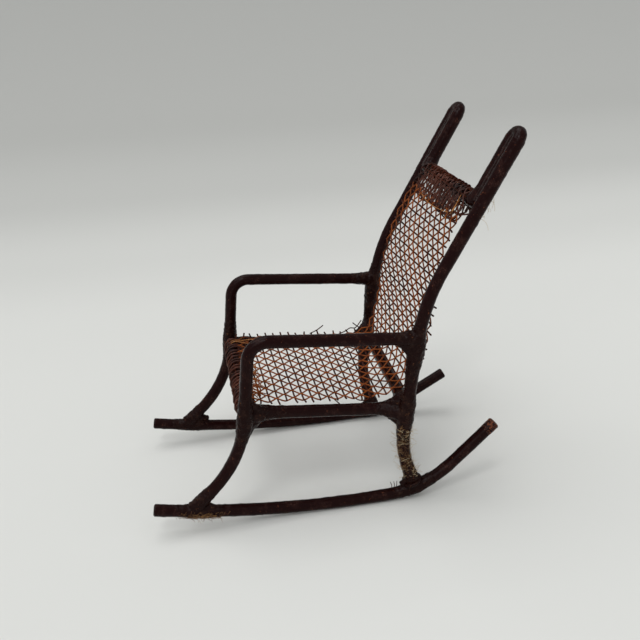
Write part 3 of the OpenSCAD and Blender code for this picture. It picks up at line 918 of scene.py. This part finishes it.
strayPaths = [
    [(-17.0, 1.2, 31.6), (-17.3, 3.3, 32.3), (-17.6, 5.2, 33.4)],
    [(-15.6, 9.0, 31.0), (-16.8, 11.3, 31.2), (-17.2, 12.8, 31.8), (-17.4, 14.5, 31.7),
     (-17.8, 16.3, 33.6)],
    [(-17.0, 13.6, 33.4), (-17.3, 15.2, 31.9), (-17.6, 16.6, 31.0)],
    [(16.3, 6.0, 28.4), (17.3, 7.4, 27.9), (17.6, 9.2, 28.0), (17.0, 10.4, 28.7)],
    [(15.9, 0.5, 29.2), (17.0, 1.6, 28.3), (17.4, 2.4, 27.5)],
]
goldPaths = [
    [(-15.8, -21.9, 31.5), (-14.6, -20.6, 33.2), (-14.0, -18.2, 33.2), (-13.2, -15.4, 33.5),
     (-12.0, -13.8, 32.6)],
    [(-14.6, -22.3, 31.2), (-13.2, -20.4, 33.4), (-12.2, -17.6, 33.2), (-11.4, -15.6, 32.6)],
    [topPlace(14.2, 1.3, 2.5, 0.8), topPlace(14.5, 1.5, 2.6, 2.2), topPlace(14.3, 1.6, 2.5, 3.6),
     topPlace(13.4, 1.6, 2.3, 5.0)],
    [topPlace(14.5, 1.4, 2.4, 1.8), topPlace(14.3, 1.5, 2.6, 3.2), topPlace(13.6, 1.6, 2.4, 4.6),
     topPlace(12.4, 1.6, 2.2, 5.6)],
    [topPlace(-8, 1.6, 2.3, 5.6), topPlace(-2, 1.6, 2.5, 6.2), topPlace(5, 1.6, 2.5, 6.0),
     topPlace(11.5, 1.6, 2.3, 5.2)],
]
tanglePaths = [     # from, to, number of curls and their size; the last one is of gold wire
    ((15.8, -17.9, 31.2), (15.0, -17.5, 34.2), 2.2, 0.85),
    ((15.4, -17.6, 31.6), (9.0, -16.9, 32.3), 3.1, 0.95),
    ((12.6, -17.2, 32.0), (2.6, -16.6, 32.9), 3.8, 0.9),
    ((15.0, -16.4, 31.2), (7.0, -14.0, 31.4), 2.8, 0.85),
    ((9.0, -17.4, 32.2), (0.5, -16.8, 33.2), 2.9, 0.7),
]

rng = random.Random(23)
finish(makeMesh("frontBinding", frontBinding()), lashingWire)
loops, beads = topBinding(rng)
finish(makeMesh("topBinding", loops), lashingWire)
finish(makeMesh("topBeads", beads), darkWire)
tangles = [curledWire(start, end, turns, size, rng, 0.1) for start, end, turns, size in tanglePaths]
finish(makeMesh("frontTangle", tangles[:4]), copperWire)
finish(makeMesh("goldTangle", tangles[4:]), goldWire)
strays = [wire(p, 0.15) for p in strayPaths]
strays.append(curledWire(topPlace(13.6, 1.6, 2.1, 4.6), topPlace(14.6, 1.6, 1.6, 6.2), 1.3, 0.7,
                         rng, 0.13))
finish(makeMesh("strayWires", strays), darkWire)
finish(makeMesh("goldStrands", [wire(p, 0.11) for p in goldPaths]), goldWire)
print("binding made")

# Fuzz, hairs, the collar at the left rear foot and the rusty tail end
postFuzz = {
    "lying": 640, "standing": 190,      # number of hairs
    "low": 4.4, "high": 21.5,           # heights between which they grow, mm
    "radius": 0.035, "length": (0.8, 2.8), "reach": (0.3, 2.0),
}
footFuzz = {"count": 300, "rings": (14, 46, 27), "length": (0.4, 1.3), "radius": 0.036}
paleFibres = {"count": 12, "place": (21, 35.4, 76.0), "radius": 0.03}
collarShape = {"height": 5.2, "turns": 1.35, "radius": 2.1, "wire": 0.48}
tailEnd = {"rings": 9, "edge": 0.4, "proud": 0.035, "lump": 0.05}


def rodPlace(path, height):
    # the middle of a post and its heading at a height
    lowRings = 120
    k = int(np.argmin(np.abs(path[:lowRings, 2] - height)))
    return path[k], unit(path[k + 1] - path[max(0, k - 1)])


def fibre(middle, heading, angle, tilt, length, base, lift, radius, rng):
    # a fine hair that starts on a rod and bends away from it
    across = unit(np.cross(heading, (1, 0, 0)))
    other = np.cross(heading, across)
    points = []
    for t in np.linspace(0, 1, 4):
        turn = angle + tilt * t * length / rodRadius
        out = math.cos(turn) * across + math.sin(turn) * other
        points.append(middle + out * (rodRadius + base + lift * t * t)
                      + heading * (t - 0.5) * length * math.cos(tilt))
    return sweepTube(wobbly(points, rng.uniform(0, 9), 0.15 + 0.3 * min(lift, 1), 1.0), radius, 3)


def fuzzOnPost(standing):
    # hairs on the left rear post, either lying close to it or standing off
    p = postFuzz
    rng = random.Random(32 if standing else 31)
    path = rodPaths["backFrame"]
    hairs = []
    for _ in range(p["standing"] if standing else p["lying"]):
        share = rng.random() ** (1.2 if standing else 1.35)
        low = p["low"] + (2.4 if standing else 0)
        height = low + (p["high"] - low) * share
        middle, heading = rodPlace(path, height)
        onSolder = 0.04 + 0.4 * min(1, max(0, height - 18.2) / 3.5)     # solder thickens it there
        hairs.append(fibre(middle, heading, rng.uniform(0, 2 * math.pi), rng.uniform(-1.4, 1.4),
                           rng.uniform(*p["length"]) * (0.6 if standing else 1),
                           onSolder,
                           rng.uniform(*p["reach"]) if standing else rng.uniform(0, 0.16),
                           p["radius"] * rng.uniform(0.5, 1.2), rng))
    return hairs


def fuzzOnFoot():
    # short hairs under the left front foot
    p = footFuzz
    rng = random.Random(37)
    path = rodPaths["leftRocker"]
    hairs = []
    for _ in range(p["count"]):
        k = int(rng.triangular(*p["rings"]))
        heading = unit(path[k + 1] - path[k - 1])
        hair = fibre(path[k], heading, rng.uniform(-1.7, 0.5), rng.uniform(-1.2, 1.2),
                     rng.uniform(*p["length"]), 0.25,
                     rng.uniform(0, 0.3) + (0.9 if rng.random() < 0.06 else 0), p["radius"], rng)
        hair[0][:, 2] = np.maximum(hair[0][:, 2], 0.02)
        hairs.append(hair)
    return hairs


def paleHairs():
    # a few long hairs caught behind the left side of the back, near the top
    rng = random.Random(41)
    middle = np.array(paleFibres["place"])
    hairs = []
    for _ in range(paleFibres["count"]):
        height = rng.uniform(-4, 2)
        start = middle + np.array([rng.uniform(-0.4, 1.0), 1.2 + 0.577 * height, height])
        swing = np.array([rng.uniform(-1, 1.2), rng.uniform(0.4, 2.2), rng.uniform(-2.6, 1.4)])
        points = [start, start + swing * 0.4 + np.array([0, 0.3, 0.2]), start + swing * 0.8,
                  start + swing + np.array([0, -0.3, -0.4])]
        hairs.append(wire(points, paleFibres["radius"], 4, 4))
    return hairs


def footCollar():
    # a turn of dark wire round the foot of the left post
    c = collarShape
    turns = np.linspace(0, c["turns"], 40)
    middle, heading = rodPlace(rodPaths["backFrame"], c["height"])
    across = unit(np.cross(heading, (1, 0, 0)))
    other = np.cross(heading, across)
    ring = []
    for t in turns:
        angle = 2 * math.pi * t + 1
        out = math.cos(angle) * across + math.sin(angle) * other
        ring.append(middle + (c["radius"] + 0.25 * math.sin(5 * t)) * out
                    + heading * (t * 0.9 - 0.6))
    return [sweepTube(ring, c["wire"] + 0.09 * np.sin(turns * 17), 9)]


def rustEnd():
    # the bare end of the left rocker's tail
    c = tailEnd
    tail = resample(rodPaths["leftRocker"][-c["rings"]:], 0.2)
    toEnd = lengthsAlong(tail)[-1] - lengthsAlong(tail)
    shrink = 1 - 0.22 * np.clip(1 - toEnd / c["edge"], 0, 1) ** 2
    radii = (rodRadius + c["proud"] + lumpiness(tail, 61, 0.8) * c["lump"]) * shrink
    verts, faces = sweepTube(tail + unit(tail[-1] - tail[-2]) * 0.05, radii, 30)
    return [(wobbly(verts, 62, 0.05, 0.9), faces)]


def footTicks():
    # three short bristles in front of the left rear foot
    return [wire([(20.6, 14.4 + k, 3.0), (20.7, 14.5 + k, 3.9), (20.5, 14.2 + 1.3 * k, 4.9)],
                 0.09, 4, 5) for k in (0, 0.7, 1.3)]


finish(makeMesh("postFuzz", fuzzOnPost(False)), fuzzFibre)
finish(makeMesh("postHairs", fuzzOnPost(True)), paleFibre)
finish(makeMesh("footFuzz", fuzzOnFoot()), fuzzFibre)
finish(makeMesh("paleHairs", paleHairs()), paleFibre)
finish(makeMesh("leftFootCollar", footCollar()), solderPaint)
finish(makeMesh("footTicks", footTicks()), darkWire)
finish(makeMesh("leftTailEnd", rustEnd()), rustyPaint)
print("fuzz and rust made")

# Floor, backdrop and light
stageSetup = {
    "reach": 900,           # mm
    "backX": -560,          # where the floor begins to sweep up, mm
    "sweep": 420,           # radius of the sweep, mm
    "wall": 900, "halfWidth": 1500,
    "paintedFalloff": [(-60, 0.70), (-115, 0.69), (-200, 0.63), (-325, 0.535), (-560, 0.50),
               (-900, 0.475)],      # grey of the sweep at distances behind the chair, darker further back: painted falloff of light
    "tint": (1.0, 1.005, 0.965),
}


def makeStage():
    p = stageSetup
    line = [(p["reach"], 0), (p["backX"], 0)]
    for a in np.linspace(0, 90, 16)[1:]:
        t = math.radians(a)
        line.append((p["backX"] - p["sweep"] * math.sin(t), p["sweep"] * (1 - math.cos(t))))
    line.append((line[-1][0], line[-1][1] + p["wall"]))
    verts = [(x, y, z) for x, z in line for y in (-p["halfWidth"], p["halfWidth"])]
    faces = [(2 * k, 2 * k + 1, 2 * k + 3, 2 * k + 2) for k in range(len(line) - 1)]
    backdrop = makeMesh("backdrop", [(verts, faces)])
    material = bpy.data.materials.new("paleSweep")
    material.use_nodes = True
    tree = material.node_tree
    shader = tree.nodes["Principled BSDF"]
    place = addNode(tree, "TexCoord").outputs["Object"]
    parts = addNode(tree, "SeparateXYZ", [(0, place)])
    # the sweep darkens with distance behind the chair: painted falloff of light, since the sun
    # lamps light it evenly
    far = p["paintedFalloff"][-1][0]
    depth = mapRange(tree, parts.outputs[0], 0, far * mm)
    ramp = addNode(tree, "ValToRGB", [(0, depth)]).color_ramp
    ramp.interpolation = "EASE"
    while len(ramp.elements) < len(p["paintedFalloff"]):
        ramp.elements.new(0.5)
    for element, (distance, grey) in zip(ramp.elements, p["paintedFalloff"]):
        element.position = distance / far
        element.color = (*(grey * t for t in p["tint"]), 1)
    tree.links.new(tree.nodes["Color Ramp"].outputs[0], shader.inputs["Base Color"])
    shader.inputs["Roughness"].default_value = 0.9
    shader.inputs["Specular IOR Level"].default_value = 0.0
    backdrop.data.materials.append(material)


lampSetup = {
    "sky": (0.97, 0.985, 1.0, 0.60),    # colour and strength
    "lamps": [      # where the light comes from, softness in degrees and strength
        ((-0.30, -0.35, 1.0), 55, 1.12),
        ((0.75, -0.5, 0.8), 40, 0.42),
        ((0.48, -0.25, 0.95), 14, 0.36),
    ],
}


def makeLights():
    world = bpy.data.worlds.new("studio")
    bpy.context.scene.world = world
    world.use_nodes = True
    glow = world.node_tree.nodes["Background"]
    *color, strength = lampSetup["sky"]
    glow.inputs[0].default_value = (*color, 1)
    glow.inputs[1].default_value = strength
    for k, (source, softness, strength) in enumerate(lampSetup["lamps"]):
        data = bpy.data.lights.new("softLight%d" % k, "SUN")
        data.angle, data.energy = math.radians(softness), strength
        lamp = bpy.data.objects.new(data.name, data)
        lamp.rotation_euler = Vector(source).to_track_quat("Z", "Y").to_euler()
        bpy.context.collection.objects.link(lamp)
    bpy.context.scene.view_settings.view_transform = "Standard"


makeStage()
makeLights()
print("stage made")
